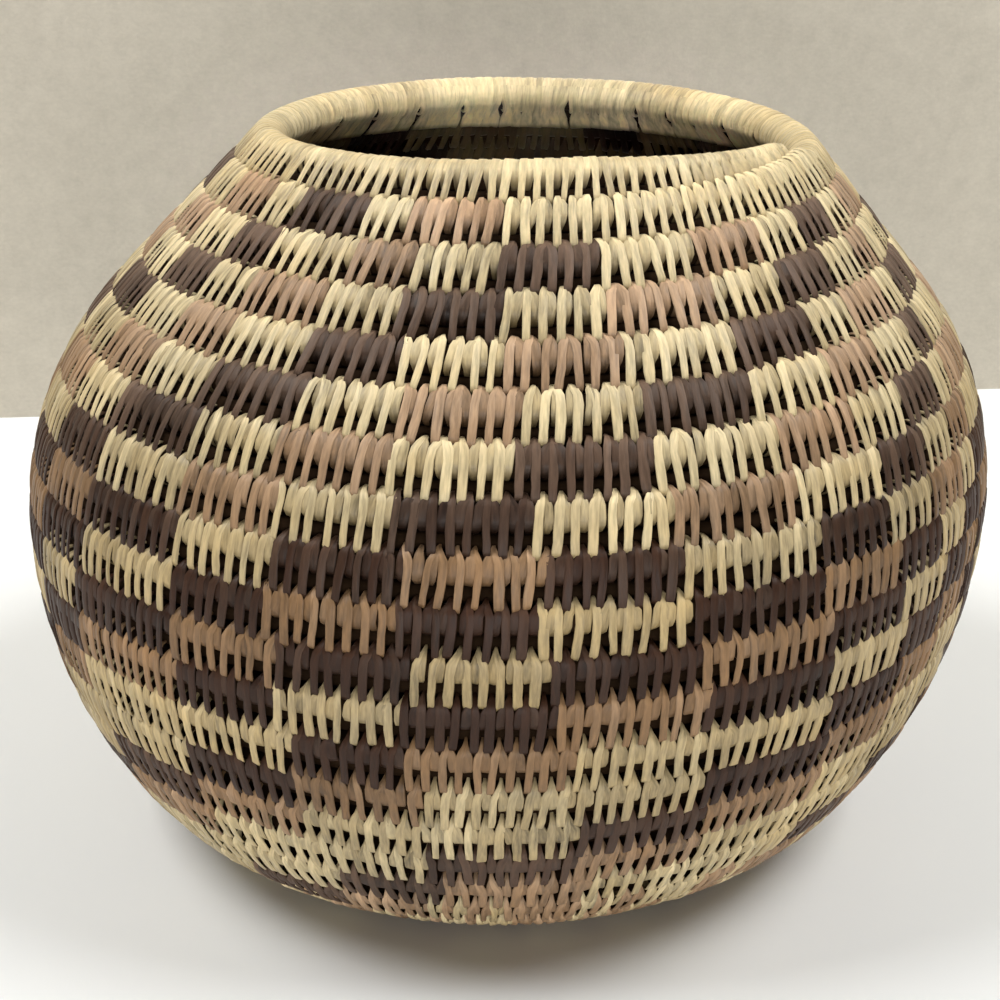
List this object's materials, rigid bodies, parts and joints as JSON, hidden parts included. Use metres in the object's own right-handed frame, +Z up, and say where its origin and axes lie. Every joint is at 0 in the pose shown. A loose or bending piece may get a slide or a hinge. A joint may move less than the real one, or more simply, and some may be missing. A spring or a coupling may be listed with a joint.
{
  "type": "coiled basket",
  "caption": "Round-bellied coiled basket of sewn splints on a spiral foundation, narrowing to an open mouth, with stepped blocks of cream, tan and dark brown.",
  "frame": {"origin": "centre of the box round the basket, on the surface it stands on", "axes": "+Z up through the mouth, -Y towards the pictured front, +X to its right"},
  "size_m": [0.2428, 0.2436, 0.18],
  "materials": {
    "cream_splint": "split plant splint, satin, undyed",
    "tan_splint": "split plant splint, satin, tan",
    "patterned_splint": "cream, tan and dark brown splints in stepped blocks, satin",
    "foundation_rod": "dry brown rods, matt"
  },
  "bodies": {
    "root": {"start_knot": "tan_splint", "base_course_01": "tan_splint", "base_course_02": "tan_splint", "base_course_03": "tan_splint", "base_course_04": "tan_splint", "base_course_05": "tan_splint", "wall_course_01": "tan_splint", "wall_course_02": "tan_splint", "wall_course_03": "patterned_splint", "wall_course_04": "patterned_splint", "wall_course_05": "patterned_splint", "wall_course_06": "patterned_splint", "wall_course_07": "patterned_splint", "wall_course_08": "patterned_splint", "wall_course_09": "patterned_splint", "wall_course_10": "patterned_splint", "wall_course_11": "patterned_splint", "wall_course_12": "patterned_splint", "wall_course_13": "patterned_splint", "wall_course_14": "patterned_splint", "wall_course_15": "patterned_splint", "wall_course_16": "patterned_splint", "wall_course_17": "patterned_splint", "wall_course_18": "patterned_splint", "wall_course_19": "cream_splint", "wall_course_20": "cream_splint", "rim_course": "cream_splint", "base_foundation": "foundation_rod", "wall_foundation": "foundation_rod"}
  },
  "joints": []
}
